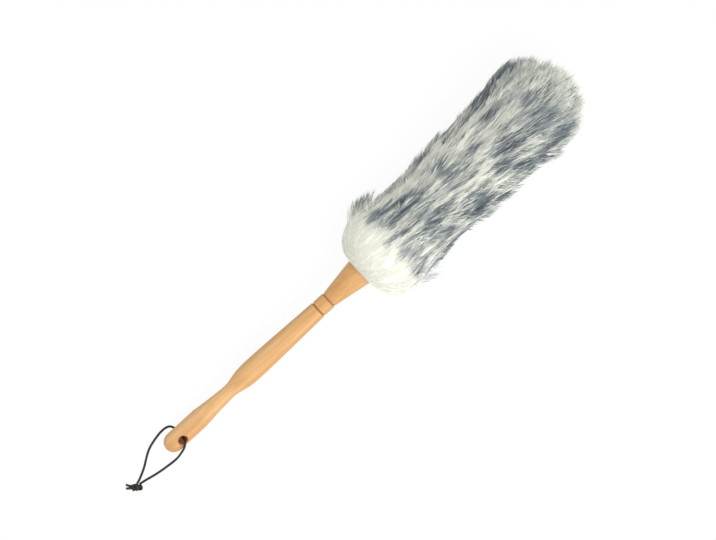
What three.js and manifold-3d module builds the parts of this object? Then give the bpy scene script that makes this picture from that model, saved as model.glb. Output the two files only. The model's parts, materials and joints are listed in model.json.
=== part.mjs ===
// Wool duster: a turned beech handle, a lambswool head wound on a wooden core, and a leather lace to hang it by.
// Millimetres, +Z up. The duster lies on a table at z = 0 with its head towards +X.
import * as THREE from "three";
import { mergeVertices } from "three/addons/utils/BufferGeometryUtils.js";
import Module from "manifold-3d";

const wasm = await Module();
wasm.setup();

// Clearance between pieces that touch
const fitGap = 0.3;

// Handle, along its axis from the butt's end to the front face, with 0 just inside the butt
const handleLength = 264;
const buttEnd = -2;
const buttRadius = 10.4;
const buttRounding = 11;
const buttLength = 44;
const neckAt = 84;
const neckRadius = 7.1;
const swellAt = 116;
const swellRadius = 11.3;
const shankRadius = 9.2;
const beadAt = 206;
const beadLength = 14;
const beadRadius = 9;
const grooveWidth = 2.2;
const grooveDepth = 1.1;
const rimRadius = 15;
const rimRounding = 3;
const handleSides = 40;

// Hanging hole through the butt
const holeAt = 17.4;
const holeRadius = 4.8;
const holeFlare = 1.1;
const holeFlareDepth = 2;

// Core dowel, glued into a socket in the handle's front, with wool beyond its other end
const dowelRadius = 6;
const tipWool = 36;
const socketDepth = 45;
const dowelChamfer = 1;

// Lambskin strip wound on the core, and the round patch on its end
const skinThickness = 2;
const stripPitch = 26;
const stripSeam = 0.7;
const stripStart = 1.5;
const stripTaperWidth = 3;
const stripStepsPerTurn = 24;
const patchRadius = 9;

// Tacks
const tackRadius = 0.7;
const tackLength = 7;
const tackHeadRadius = 2.4;
const tackHeadHeight = 0.9;
const tackInset = 8;
const tackAngles = [0.7, 0.7 + Math.PI];

// Wool, along the axis from the handle's front face
const headLength = 286;
const cuffRadius = 49.5;
const cuffAt = 34;
const waistRadius = 43;
const waistAt = 76;
const bodyRadius = 45.5;
const bodyAt = 150;
const fringeRadius = 53;
const fringeInset = 54;
const crownRadius = 26;
const crownInset = 8;
const headLean = THREE.MathUtils.degToRad(2);
const lockHeight = 3.4;
const lockDraw = 0.45;
const locksPerTurn = 9.5;
const pileSides = 36;
const pileRings = 44;

// Lie on the table: the butt lies on the lace, the wool is pressed flat where it rests
const restAngle = THREE.MathUtils.degToRad(4);
const buttLift = 1.5;

// Leather lace
const laceRadius = 1.2;
const laceSides = 8;
const laceSteps = 64;
const endSteps = 4;
const knotCentre = new THREE.Vector3(-51.6, -10.9, 4.5);
const knotTurn = THREE.MathUtils.degToRad(-40.5);
const knotLength = 13.5;
const knotWidth = 8.4;
const knotWraps = [-3.2, 0, 3.2];
const wrapTilt = 0.32;

// Route of the lace on the table, from the knot up through the hole and back under the butt to the knot
const laceRoute = [
  [-46.6, -11.8, 3.9],
  [-43.6, -12.9, 3.0],
  [-40.2, -14.4, 2.0],
  [-34.9, -16.4, 1.4],
  [-29.3, -18.1, 1.3],
  [-24.0, -19.4, 1.3],
  [-18.7, -20.5, 1.3],
  [-13.7, -21.2, 1.5],
  [-8.6, -21.2, 2.8],
  [-3.5, -19.9, 5.7],
  [0.9, -17.4, 9.6],
  [4.6, -14.0, 14.1],
  [7.9, -10.7, 18.5],
  [10.2, -8.2, 21.6],
  [12.1, -6.5, 23.2],
  [14.4, -4.8, 23.6],
  [16.5, -3.1, 22.5],
  [18.0, -2.0, 20.2],
  [18.5, -1.5, 17.3],
  [18.5, -1.0, 13.8],
  [18.5, -0.5, 10.6],
  [18.4, 0.0, 7.6],
  [18.4, 0.8, 4.6],
  [18.3, 2.8, 2.3],
  [18.1, 5.8, 1.3],
  [17.0, 9.0, 1.3],
  [14.8, 11.3, 1.3],
  [11.6, 12.5, 1.3],
  [6.0, 12.9, 1.3],
  [0.0, 12.2, 1.3],
  [-6.5, 10.8, 1.3],
  [-13.0, 8.8, 1.3],
  [-18.9, 5.8, 1.3],
  [-24.5, 2.0, 1.3],
  [-29.8, -1.8, 1.3],
  [-35.6, -5.2, 1.4],
  [-41.0, -7.5, 2.1],
  [-44.8, -8.6, 3.1],
  [-48.1, -9.2, 3.9],
];
const laceEnds = [
  [[-54.5, -6.2, 3.4], [-55.9, -4.0, 2.3], [-56.7, -2.2, 1.5]],
  [[-56.3, -8.4, 3.1], [-58.2, -6.7, 2.1], [-59.6, -5.5, 1.5]],
];

// Sizes that follow from those above
const socketRadius = dowelRadius + fitGap;
const dowelBack = handleLength - socketDepth + fitGap;
const dowelFront = handleLength + headLength - tipWool;
const stripInner = dowelRadius + fitGap;
const stripOuter = stripInner + skinThickness;
const pileBore = stripOuter + fitGap;
const tackSeat = stripOuter + fitGap;
const tackPocket = tackSeat + tackHeadHeight + fitGap;
const patchBack = dowelFront + fitGap;
const patchFront = patchBack + skinThickness;
const stripBack = handleLength + stripStart;
const stripFront = dowelFront - stripStart;
const tackStations = { base: stripBack + tackInset, tip: stripFront - tackInset };
const frontCentre = handleLength - rimRounding;
const fringeAt = headLength - fringeInset;
const crownAt = headLength - crownInset;

function material(color, roughness, metalness = 0) {
  return new THREE.MeshStandardMaterial({ color, roughness, metalness });
}
const beech = () => material(0xe8b97e, 0.5);
const lambskin = () => material(0xe6d8bc, 0.8);
const wool = () => material(0xd5d8cc, 1);
const steel = () => material(0xb4b4b2, 0.35, 1);
const lace = () => material(0x3e3a35, 0.6);

// Closed meshes as solids, for cuts and joins
function toSolid(geometry) {
  const bare = geometry.clone();
  bare.deleteAttribute("normal");
  bare.deleteAttribute("uv");
  const merged = mergeVertices(bare, 1e-4);
  const corners = merged.index.array;
  const triVerts = [];
  for (let i = 0; i < corners.length; i += 3) {
    const [a, b, c] = corners.subarray(i, i + 3);
    if (a !== b && b !== c && c !== a) triVerts.push(a, b, c);
  }
  return new wasm.Manifold(new wasm.Mesh({
    numProp: 3,
    vertProperties: new Float32Array(merged.attributes.position.array),
    triVerts: new Uint32Array(triVerts),
  }));
}

function toGeometry(solid) {
  const { vertProperties, triVerts } = solid.getMesh();
  const geometry = new THREE.BufferGeometry();
  geometry.setAttribute("position", new THREE.BufferAttribute(vertProperties, 3));
  geometry.setIndex(new THREE.BufferAttribute(triVerts, 1));
  geometry.computeVertexNormals();
  return geometry;
}

function cut(geometry, tools) {
  return toGeometry(tools.reduce((solid, tool) => solid.subtract(toSolid(tool)), toSolid(geometry)));
}

function joined(geometries) {
  return geometries.map(toSolid).reduce((whole, piece) => whole.add(piece));
}

function named(name, geometry, look) {
  const mesh = new THREE.Mesh(geometry, look);
  mesh.name = name;
  return mesh;
}

// A profile of (along, radius) points turned about the X axis
function turned(profile, sides) {
  const points = profile.map((p) => new THREE.Vector2(Math.max(p.y, 0), p.x));
  return new THREE.LatheGeometry(points, sides).rotateZ(-Math.PI / 2);
}

function corners(pairs) {
  return pairs.map(([along, radius]) => new THREE.Vector2(along, radius));
}

// Rings of points skinned in order, closed on themselves or capped
function loft(rings, closed) {
  const size = rings[0].length;
  const index = [];
  const spans = closed ? rings.length : rings.length - 1;
  for (let i = 0; i < spans; i++) {
    const here = i * size;
    const next = ((i + 1) % rings.length) * size;
    for (let j = 0; j < size; j++) {
      const k = (j + 1) % size;
      index.push(here + j, here + k, next + k, here + j, next + k, next + j);
    }
  }
  const last = (rings.length - 1) * size;
  for (let j = 1; !closed && j < size - 1; j++) {
    index.push(0, j + 1, j, last, last + j, last + j + 1);
  }
  const geometry = new THREE.BufferGeometry().setFromPoints(rings.flat());
  geometry.setIndex(index);
  geometry.computeVertexNormals();
  return geometry;
}

// Handle
function handleProfile() {
  const outline = new THREE.Path();
  const half = grooveWidth / 2;
  const beadEnd = beadAt + beadLength;
  outline.moveTo(buttEnd, 0);
  outline.absellipse(buttEnd + buttRounding, 0, buttRounding, buttRadius, Math.PI, Math.PI / 2, true);
  outline.lineTo(buttLength, buttRadius);
  const taper = neckAt - buttLength;
  outline.bezierCurveTo(
    buttLength + taper * 0.12, buttRadius * 0.94,
    neckAt - taper * 0.4, neckRadius * 1.08,
    neckAt, neckRadius,
  );
  const rise = swellAt - neckAt;
  outline.bezierCurveTo(neckAt + rise * 0.28, neckRadius, swellAt - rise * 0.58, swellRadius, swellAt, swellRadius);
  const shank = beadAt - half - swellAt;
  outline.bezierCurveTo(
    swellAt + shank * 0.24, swellRadius,
    swellAt + shank * 0.62, shankRadius + 0.8,
    beadAt - half, shankRadius,
  );
  outline.lineTo(beadAt, beadRadius - grooveDepth);
  outline.lineTo(beadAt + half, beadRadius);
  outline.lineTo(beadEnd - half, beadRadius);
  outline.lineTo(beadEnd, beadRadius - grooveDepth);
  outline.lineTo(beadEnd + half, beadRadius - grooveDepth / 3);
  outline.lineTo(frontCentre, rimRadius);
  outline.absellipse(
    frontCentre, socketRadius, rimRounding, rimRadius - socketRadius, Math.PI / 2, 0, true,
  );
  outline.lineTo(handleLength - socketDepth, socketRadius);
  outline.lineTo(handleLength - socketDepth, 0);
  return outline.getPoints(5);
}

function hangingHole() {
  const flareStart = buttRadius - holeFlareDepth;
  const past = buttRadius + holeFlareDepth;
  const mouth = holeRadius + 2 * holeFlare;
  return turned(corners([
    [-past, 0], [-past, mouth], [-flareStart, holeRadius], [flareStart, holeRadius], [past, mouth], [past, 0],
  ]), 24).rotateY(-Math.PI / 2).translate(holeAt, 0, 0);
}

function handle() {
  return named("handle", cut(turned(handleProfile(), handleSides), [hangingHole()]), beech());
}

// Tacks, modelled along +Y from the seat of the head
function tackShape() {
  const tip = -tackLength;
  const head = new THREE.Path();
  head.moveTo(tip, 0);
  head.lineTo(tip + tackRadius * 2, tackRadius);
  head.lineTo(0, tackRadius);
  head.lineTo(0, tackHeadRadius);
  head.quadraticCurveTo(tackHeadHeight, tackHeadRadius, tackHeadHeight, 0);
  return turned(head.getPoints(3), 10).rotateZ(Math.PI / 2);
}

function tackHole(seat) {
  const radius = tackRadius + fitGap;
  const depth = tackLength + fitGap;
  return new THREE.CylinderGeometry(radius, radius, depth + seat, 10).translate(0, (seat - depth) / 2, 0);
}

// Where each tack sits: its own +Y along the drive direction, its head's seat at the given place
function stripTackPlaces() {
  const places = [];
  for (const [end, along] of Object.entries(tackStations)) {
    tackAngles.forEach((angle, i) => {
      const place = new THREE.Object3D();
      place.name = `${end}_tack_${i + 1}`;
      place.position.set(along, tackSeat * Math.cos(angle), tackSeat * Math.sin(angle));
      place.rotation.x = angle;
      place.updateMatrix();
      places.push(place);
    });
  }
  return places;
}

function patchTackPlace() {
  const place = new THREE.Object3D();
  place.name = "patch_tack";
  place.position.x = patchFront + fitGap;
  place.rotation.z = -Math.PI / 2;
  place.updateMatrix();
  return place;
}

function tacks() {
  return [...stripTackPlaces(), patchTackPlace()].map((place) => {
    const tack = named(place.name, tackShape(), steel());
    tack.position.copy(place.position);
    tack.rotation.copy(place.rotation);
    return tack;
  });
}

function tackHoles(places) {
  return places.map((place) => tackHole(tackHeadHeight).applyMatrix4(place.matrix));
}

// Core
function coreDowel() {
  const profile = corners([
    [dowelBack, 0],
    [dowelBack, dowelRadius - dowelChamfer],
    [dowelBack + dowelChamfer, dowelRadius],
    [dowelFront - dowelChamfer, dowelRadius],
    [dowelFront, dowelRadius - dowelChamfer],
    [dowelFront, 0],
  ]);
  const holes = tackHoles([...stripTackPlaces(), patchTackPlace()]);
  return named("core_dowel", cut(turned(profile, 24), holes), beech());
}

// Lambskin strip: a ribbon on a helix, trimmed square with the core at both ends
function sheepskinStrip() {
  const width = stripPitch - stripSeam;
  const turns = (stripFront - stripBack + width - 2 * stripTaperWidth) / stripPitch;
  const steps = Math.round(turns * stripStepsPerTurn);
  const rings = [];
  for (let i = 0; i <= steps; i++) {
    const turn = (turns * i) / steps;
    const edge = stripBack + stripTaperWidth + turn * stripPitch;
    const low = Math.max(stripBack, edge - width);
    const high = Math.min(stripFront, edge);
    const angle = turn * 2 * Math.PI;
    const at = (along, radius) => new THREE.Vector3(along, radius * Math.cos(angle), radius * Math.sin(angle));
    rings.push([at(low, stripInner), at(high, stripInner), at(high, stripOuter), at(low, stripOuter)]);
  }
  return named("sheepskin_strip", cut(loft(rings, false), tackHoles(stripTackPlaces())), lambskin());
}

function tipPatch() {
  const hole = tackRadius + fitGap;
  const profile = corners([
    [patchBack, hole], [patchBack, patchRadius], [patchFront, patchRadius - skinThickness / 2],
    [patchFront, hole], [patchBack, hole],
  ]);
  return named("tip_patch", turned(profile, 24), lambskin());
}

// Wool
const headTip = handleLength + headLength;
const lift = buttLift + Math.max(
  ...handleProfile().map((p) => p.y * Math.cos(restAngle) - p.x * Math.sin(restAngle)),
);

// The outer shape of the wool as (along, radius), from the rim round the cuff to the crown
function woolOutline() {
  const from = (along, radius) => new THREE.Vector2(handleLength + along, radius);
  return new THREE.SplineCurve([
    from(fitGap - rimRounding, rimRadius + 2 * fitGap),
    from(-rimRounding / 2, rimRadius + (cuffRadius - rimRadius) * 0.34),
    from(cuffAt * 0.18, rimRadius + (cuffRadius - rimRadius) * 0.68),
    from(cuffAt * 0.55, cuffRadius * 0.94),
    from(cuffAt, cuffRadius),
    from((cuffAt + waistAt) / 2, (cuffRadius + waistRadius) / 2),
    from(waistAt, waistRadius),
    from(bodyAt, bodyRadius),
    from((bodyAt + fringeAt) / 2, bodyRadius),
    from(fringeAt, fringeRadius),
    from((fringeAt + crownAt) / 2, fringeRadius - (fringeRadius - crownRadius) * 0.22),
    from(crownAt, crownRadius),
  ]);
}

// Locks of wool stand along the wound strip and lap over the next turn, with drawn-out tips
function lockRelief(along, angle) {
  const round = angle / (2 * Math.PI);
  const along0 = (along - stripBack) / stripPitch - round;
  const beside = Math.abs(((Math.floor(along0) + round) * locksPerTurn) % 1) * 2 - 1;
  const drawn = along0 + lockDraw * Math.abs(beside);
  return lockHeight * (drawn - Math.floor(drawn) - 0.5);
}

// A ring of wool: the head leans a little to one side, and the table presses it flat
function woolRing(along, radius, relief = 0) {
  const middle = handleLength + headLength / 3;
  const share = THREE.MathUtils.smoothstep(radius, tackPocket, cuffRadius);
  const side = (along - middle) * Math.tan(headLean) * share;
  const ring = [];
  for (let j = 0; j < pileSides; j++) {
    const angle = (2 * Math.PI * j) / pileSides;
    const reach = radius + relief * lockRelief(along, angle);
    const floor = -(lift + along * Math.sin(restAngle)) / Math.cos(restAngle);
    ring.push(new THREE.Vector3(
      along,
      side + reach * Math.cos(angle),
      Math.max(floor, reach * Math.sin(angle)),
    ));
  }
  return ring;
}

// The seat of the patch's wool in the strip's wool: a cone that opens towards the tip
const crownSeat = { back: patchFront + fitGap, backRadius: patchRadius + fitGap };

function stripPile() {
  const outline = woolOutline().getSpacedPoints(pileRings);
  const edge = outline.at(-1);
  const outer = outline.map((p, i) => woolRing(p.x, p.y, Math.min(1, i / 6, (pileRings - i) / 3)));
  const cup = [];
  for (const share of [0.25, 0.5, 0.75, 1]) {
    const angle = (share * Math.PI) / 2;
    cup.push([
      frontCentre + (rimRounding + 2 * fitGap) * Math.sin(angle),
      pileBore + (rimRadius + 2 * fitGap - pileBore) * Math.cos(angle),
    ]);
  }
  const pockets = Object.values(tackStations).map((station) => {
    const reach = tackHeadRadius + 2 * fitGap;
    return [
      [station - reach, pileBore], [station - reach, tackPocket],
      [station + reach, tackPocket], [station + reach, pileBore],
    ];
  });
  const inside = [...cup, ...pockets.flat(), [dowelFront, pileBore], [dowelFront, crownSeat.backRadius]];
  const seat = [[crownSeat.back, crownSeat.backRadius], [edge.x - 2, edge.y - 2]];
  const inner = [...inside, ...seat].reverse().map(([along, radius]) => woolRing(along, radius));
  return named("strip_pile", loft([...outer, ...inner], true), wool());
}

function tipPile() {
  const edge = woolOutline().getPoint(1);
  const dome = new THREE.QuadraticBezierCurve(
    new THREE.Vector2(edge.x - 2, edge.y - 2 - 2 * fitGap),
    new THREE.Vector2(headTip, edge.y * 0.8),
    new THREE.Vector2(headTip, edge.y * 0.25),
  ).getPoints(5);
  const pocketDepth = tackHeadHeight + 2 * fitGap;
  const pocketRadius = tackHeadRadius + fitGap;
  const rings = [
    woolRing(crownSeat.back + pocketDepth, pocketRadius),
    woolRing(crownSeat.back + fitGap, pocketRadius),
    woolRing(crownSeat.back + fitGap, crownSeat.backRadius - fitGap),
    ...dome.map((p) => woolRing(p.x, p.y)),
  ];
  return named("tip_pile", loft(rings, false), wool());
}

// Lace
function laceTube(route, radius, steps, extra = 0) {
  const points = route.map((p) => new THREE.Vector3(...p));
  for (const [end, inward] of [[0, 1], [points.length - 1, points.length - 2]]) {
    const outward = points[end].clone().sub(points[inward]).setLength(extra);
    points[end] = points[end].clone().add(outward);
  }
  const section = new THREE.Shape().absarc(0, 0, radius, 0, 2 * Math.PI);
  return new THREE.ExtrudeGeometry(section, {
    steps,
    curveSegments: laceSides / 2,
    bevelEnabled: false,
    extrudePath: new THREE.CatmullRomCurve3(points, false, "centripetal"),
  });
}

function laceKnot() {
  const body = new THREE.SphereGeometry(1, 12, 8).scale(knotLength / 2, knotWidth / 2.3, knotWidth / 2.3);
  const wrapRadius = knotWidth / 2 - laceRadius;
  const wraps = knotWraps.map((along, i) => {
    const tilt = i % 2 ? -wrapTilt : wrapTilt;
    return new THREE.TorusGeometry(wrapRadius, laceRadius, 7, 14).rotateY(Math.PI / 2 + tilt).translate(along, 0, 0);
  });
  const table = new THREE.BoxGeometry(4 * knotLength, 4 * knotLength, knotLength)
    .translate(0, 0, -knotLength / 2 - knotCentre.z);
  const placed = cut(toGeometry(joined([body, ...wraps])), [table])
    .rotateZ(knotTurn)
    .translate(...knotCentre);
  const socket = laceRadius + fitGap;
  const sockets = [
    laceTube(laceRoute, socket, laceSteps, 2 * fitGap),
    ...laceEnds.map((route) => laceTube(route, socket, endSteps, 2 * fitGap)),
  ];
  return named("lace_knot", cut(placed, sockets), lace());
}

function hangingLace() {
  const ends = laceEnds.map((route, i) => named(`lace_end_${i + 1}`, laceTube(route, laceRadius, endSteps), lace()));
  return [named("hang_lace", laceTube(laceRoute, laceRadius, laceSteps), lace()), laceKnot(), ...ends];
}

// Assembly: the duster tilts on the table, the lace lies in the table's own frame
const duster = new THREE.Group();
duster.rotation.y = -restAngle;
duster.position.z = lift;
duster.add(handle(), coreDowel(), sheepskinStrip(), ...tacks(), tipPatch(), stripPile(), tipPile());

const loop = new THREE.Group();
loop.add(...hangingLace());

const part = new THREE.Group();
part.name = "wool_duster";
part.add(duster, loop);
part.updateMatrixWorld(true);
const middle = new THREE.Box3().setFromObject(duster, true).getCenter(new THREE.Vector3());
part.position.set(-middle.x, -middle.y, 0);

export default part;
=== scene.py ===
# Wool duster lying on a table: turned beech handle, lambswool head, leather lace to hang it by
import json
import math

import bpy
import numpy as np
from mathutils import Matrix, Vector


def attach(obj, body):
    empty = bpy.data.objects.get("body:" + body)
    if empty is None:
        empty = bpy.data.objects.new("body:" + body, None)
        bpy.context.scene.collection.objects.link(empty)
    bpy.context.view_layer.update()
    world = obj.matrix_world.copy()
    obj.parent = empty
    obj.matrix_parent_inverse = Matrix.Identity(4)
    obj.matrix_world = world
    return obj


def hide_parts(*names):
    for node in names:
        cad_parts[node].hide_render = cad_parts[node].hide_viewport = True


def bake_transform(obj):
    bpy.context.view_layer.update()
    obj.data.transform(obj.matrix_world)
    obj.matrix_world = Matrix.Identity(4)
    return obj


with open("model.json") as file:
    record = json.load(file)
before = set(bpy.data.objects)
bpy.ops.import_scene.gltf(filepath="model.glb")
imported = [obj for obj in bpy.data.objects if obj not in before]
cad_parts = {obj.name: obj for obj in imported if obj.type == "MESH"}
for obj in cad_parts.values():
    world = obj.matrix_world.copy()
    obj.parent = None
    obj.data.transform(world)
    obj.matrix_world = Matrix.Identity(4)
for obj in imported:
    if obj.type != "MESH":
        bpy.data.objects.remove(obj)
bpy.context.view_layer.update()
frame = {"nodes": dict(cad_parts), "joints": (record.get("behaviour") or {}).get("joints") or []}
nodes = frame["nodes"]

lie = {
    "tilt": math.radians(4),  # butt low, wool head high
    "holeAt": 0.0174,  # hanging hole from the butt, along the handle
}
hole = Vector(frame["joints"][0]["pos_m"])
along = Vector((math.cos(lie["tilt"]), 0, math.sin(lie["tilt"])))
butt = hole - along * lie["holeAt"]
rise = Vector((-along.z, 0, along.x))
print("frame loaded, butt at", tuple(round(c, 5) for c in butt))


def onTable(x, y, z):  # millimetres from the butt, heights from the table
    return Vector((butt.x + x / 1000, butt.y + y / 1000, z / 1000))


def srgb(*levels):  # 0 to 255 as seen, to the linear values that sockets take
    shares = [level / 255 for level in levels]
    return (*[s / 12.92 if s < 0.04045 else ((s + 0.055) / 1.055) ** 2.4 for s in shares], 1)


def selectNone():
    if bpy.context.mode != "OBJECT":
        bpy.ops.object.mode_set(mode="OBJECT")
    bpy.ops.object.select_all(action="DESELECT")


def selectOnly(piece):
    selectNone()
    piece.select_set(True)
    bpy.context.view_layer.objects.active = piece


def smoothLine(points, steps):  # one smooth line through all points, tighter where they are close
    p = np.array(points, float)
    p = np.vstack([2 * p[0] - p[1], p, 2 * p[-1] - p[-2]])
    line = []
    for i in range(1, len(p) - 2):
        gaps = [max(np.linalg.norm(p[i + k] - p[i + k - 1]), 1e-9) ** 0.5 for k in range(3)]
        a, b, c = gaps
        out = (p[i] - p[i - 1]) / a - (p[i + 1] - p[i - 1]) / (a + b) + (p[i + 1] - p[i]) / b
        into = (p[i + 1] - p[i]) / b - (p[i + 2] - p[i]) / (b + c) + (p[i + 2] - p[i + 1]) / c
        out, into = out * b, into * b
        t = np.linspace(0, 1, steps, endpoint=False)[:, None]
        back = -3 * p[i] + 3 * p[i + 1] - 2 * out - into
        last = 2 * p[i] - 2 * p[i + 1] + out + into
        line.append(p[i] + out * t + back * t**2 + last * t**3)
    return np.vstack([*line, p[-2]])


def evenLine(points, count):  # the same line with its points an equal way apart
    p = np.array(points, float)
    way = np.concatenate([[0], np.cumsum(np.linalg.norm(np.diff(p, axis=0), axis=1))])
    at = np.linspace(0, way[-1], count)
    return np.stack([np.interp(at, way, p[:, k]) for k in range(p.shape[1])], axis=1)


def easeIn(values, start=0, span=1):  # 0 up to the start, then smoothly up to 1 over the span
    steady = np.clip((values - start) / span, 0, 1)
    return steady * steady * (3 - 2 * steady)


# Camera, at the photograph's viewing angle
shot = {
    "lens": 200,
    "sensor": 36,
    "width": 0.716,  # metres across the picture, one millimetre to a pixel
    "elevation": 59,
    "handleRises": 42.54,  # degrees, butt to head in the picture
    "middle": (0.2618, -0.0023),  # what is at the picture's middle: along the handle, and beside it
}


def placeCamera():
    height = math.radians(shot["elevation"])
    back = Vector((0, math.cos(height), math.sin(height)))
    across = Vector((0, -math.sin(height), math.cos(height)))
    roll = math.radians(shot["handleRises"]) + math.atan2(along.dot(across), along.x)
    right = Vector((math.cos(roll), 0, 0)) + across * math.sin(roll)
    up = Vector((math.sin(roll), 0, 0)) - across * math.cos(roll)
    slope = math.radians(shot["handleRises"])
    beside = right * math.sin(slope) - up * math.cos(slope)
    aim = butt + along * shot["middle"][0] + beside * shot["middle"][1]
    bpy.ops.object.camera_add()
    camera = bpy.context.object
    camera.name = "photoCamera"
    camera.data.lens = shot["lens"]
    camera.data.sensor_width = shot["sensor"]
    place = aim + back * shot["width"] * shot["lens"] / shot["sensor"]
    turn = Matrix((right, up, back)).transposed()
    camera.matrix_world = Matrix.Translation(place) @ turn.to_4x4()
    bpy.context.scene.camera = camera


placeCamera()
print("camera placed")


# Materials
def newMaterial(name, roughness):
    material = bpy.data.materials.new(name)
    material.use_nodes = True
    shader = material.node_tree.nodes["Principled BSDF"]
    shader.inputs["Roughness"].default_value = roughness
    return material, material.node_tree, shader


def addNode(tree, kind, **settings):
    node = tree.nodes.new(kind)
    for name, value in settings.items():
        if name in node.inputs:
            node.inputs[name].default_value = value
        else:
            setattr(node, name, value)
    return node


def mathNode(tree, operation, first, second=0):
    node = addNode(tree, "ShaderNodeMath", operation=operation)
    for socket, value in zip(node.inputs, (first, second)):
        if isinstance(value, (int, float)):
            socket.default_value = value
        else:
            tree.links.new(value, socket)
    return node.outputs[0]


def rampNode(tree, source, stops):
    node = addNode(tree, "ShaderNodeValToRGB")
    ramp = node.color_ramp
    while len(ramp.elements) < len(stops):
        ramp.elements.new(0.5)
    for element, (place, colour) in zip(ramp.elements, stops):
        element.position = place
        element.color = colour
    tree.links.new(source, node.inputs[0])
    return node.outputs[0]


def mixNode(tree, share, first, second, blend="MIX"):
    node = addNode(tree, "ShaderNodeMix", data_type="RGBA", blend_type=blend)
    for socket, value in zip((node.inputs[0], node.inputs[6], node.inputs[7]), (share, first, second)):
        if isinstance(value, (int, float, tuple)):
            socket.default_value = value
        else:
            tree.links.new(value, socket)
    return node.outputs[2]


def bumpNode(tree, shader, height, strength, distance):
    node = addNode(tree, "ShaderNodeBump", Strength=strength, Distance=distance)
    tree.links.new(height, node.inputs["Height"])
    tree.links.new(node.outputs[0], shader.inputs["Normal"])


def noiseNode(tree, vector, scale, detail=2.0, roughness=0.5):
    node = addNode(tree, "ShaderNodeTexNoise", Scale=scale, Detail=detail, Roughness=roughness)
    tree.links.new(vector, node.inputs["Vector"])
    return node.outputs["Fac"]


def handleCoordinates(tree):  # millimetres along the handle in X, across it in Y and Z
    coordinates = addNode(tree, "ShaderNodeTexCoord")
    turn = Matrix((along, (0, 1, 0), rise))
    shift = turn @ butt
    mapping = addNode(tree, "ShaderNodeMapping")
    mapping.inputs["Location"].default_value = -shift * 1000
    mapping.inputs["Rotation"].default_value = (0, lie["tilt"], 0)
    mapping.inputs["Scale"].default_value = (1000, 1000, 1000)
    tree.links.new(coordinates.outputs["Object"], mapping.inputs["Vector"])
    return mapping.outputs[0]


def stretched(tree, vector, *shares):
    node = addNode(tree, "ShaderNodeVectorMath", operation="MULTIPLY")
    tree.links.new(vector, node.inputs[0])
    node.inputs[1].default_value = shares
    return node.outputs[0]


beechLook = {
    "light": srgb(227, 186, 134),
    "middle": srgb(216, 168, 109),
    "dark": srgb(202, 148, 88),
    "fleck": srgb(196, 138, 78),
    "groove": srgb(150, 98, 56),
    "bore": srgb(192, 116, 56),
    "boreSquare": 38,  # square millimetres: its tint goes by the square of the way from the hole's axis
    "grooves": (206, 220),  # along the handle, millimetres
}


def beechMaterial(name, worked):
    look = beechLook
    material, tree, shader = newMaterial(name, 0.42)
    place = handleCoordinates(tree)
    rings = noiseNode(tree, stretched(tree, place, 0.006, 0.14, 0.14), 1, 4, 0.6)
    fibres = noiseNode(tree, stretched(tree, place, 0.05, 2.4, 2.4), 1, 3, 0.6)
    flecks = noiseNode(tree, stretched(tree, place, 0.42, 3.4, 3.4), 1, 1, 0.4)
    colour = rampNode(tree, rings, [(0.3, look["dark"]), (0.5, look["middle"]), (0.68, look["light"])])
    streak = rampNode(tree, fibres, [(0.35, (0.86, 0.84, 0.8, 1)), (0.62, (1, 1, 1, 1))])
    colour = mixNode(tree, 0.7, colour, streak, "MULTIPLY")
    fleckShare = rampNode(tree, flecks, [(0.63, (0, 0, 0, 1)), (0.72, (0.6, 0.6, 0.6, 1))])
    colour = mixNode(tree, fleckShare, colour, look["fleck"])
    if worked:
        split = addNode(tree, "ShaderNodeSeparateXYZ")
        tree.links.new(place, split.inputs[0])
        for groove in look["grooves"]:
            away = mathNode(tree, "ABSOLUTE", mathNode(tree, "SUBTRACT", split.outputs[0], groove))
            burn = rampNode(tree, away, [(0.25, (0.9, 0.9, 0.9, 1)), (1, (0, 0, 0, 1))])
            colour = mixNode(tree, burn, colour, look["groove"])
        aside = mathNode(tree, "SUBTRACT", split.outputs[0], lie["holeAt"] * 1000)
        away = mathNode(tree, "POWER", aside, 2)
        away = mathNode(tree, "ADD", away, mathNode(tree, "POWER", split.outputs[1], 2))
        away = mathNode(tree, "DIVIDE", away, look["boreSquare"])
        inside = rampNode(tree, away, [(0.62, (0.75, 0.75, 0.75, 1)), (0.8, (0, 0, 0, 1))])
        colour = mixNode(tree, inside, colour, look["bore"])
    tree.links.new(colour, shader.inputs["Base Color"])
    gloss = rampNode(tree, fibres, [(0.3, (0.5, 0.5, 0.5, 1)), (0.7, (0.38, 0.38, 0.38, 1))])
    tree.links.new(gloss, shader.inputs["Roughness"])
    bumpNode(tree, shader, fibres, 0.12, 0.0004)
    return material


woolLook = {
    "stops": [
        (0.0, srgb(252, 252, 238)),
        (0.3, srgb(232, 234, 222)),
        (0.55, srgb(184, 190, 186)),
        (0.8, srgb(124, 133, 139)),
        (1.0, srgb(90, 99, 108)),
    ],
    "hidden": srgb(250, 249, 235),
}


def woolMaterial():
    material, tree, shader = newMaterial("combedWool", 0.85)
    shade = addNode(tree, "ShaderNodeAttribute", attribute_name="tipShade")
    coordinates = addNode(tree, "ShaderNodeTexCoord")
    patchy = noiseNode(tree, coordinates.outputs["Object"], 900, 2, 0.6)
    wander = mathNode(tree, "MULTIPLY", mathNode(tree, "SUBTRACT", patchy, 0.5), 0.1)
    colour = rampNode(tree, mathNode(tree, "ADD", shade.outputs["Fac"], wander), woolLook["stops"])
    tree.links.new(colour, shader.inputs["Base Color"])
    shader.inputs["Specular IOR Level"].default_value = 0.25
    shader.inputs["Sheen Weight"].default_value = 0.25
    shader.inputs["Sheen Roughness"].default_value = 0.5
    bumpNode(tree, shader, patchy, 0.2, 0.0002)
    return material


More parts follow.
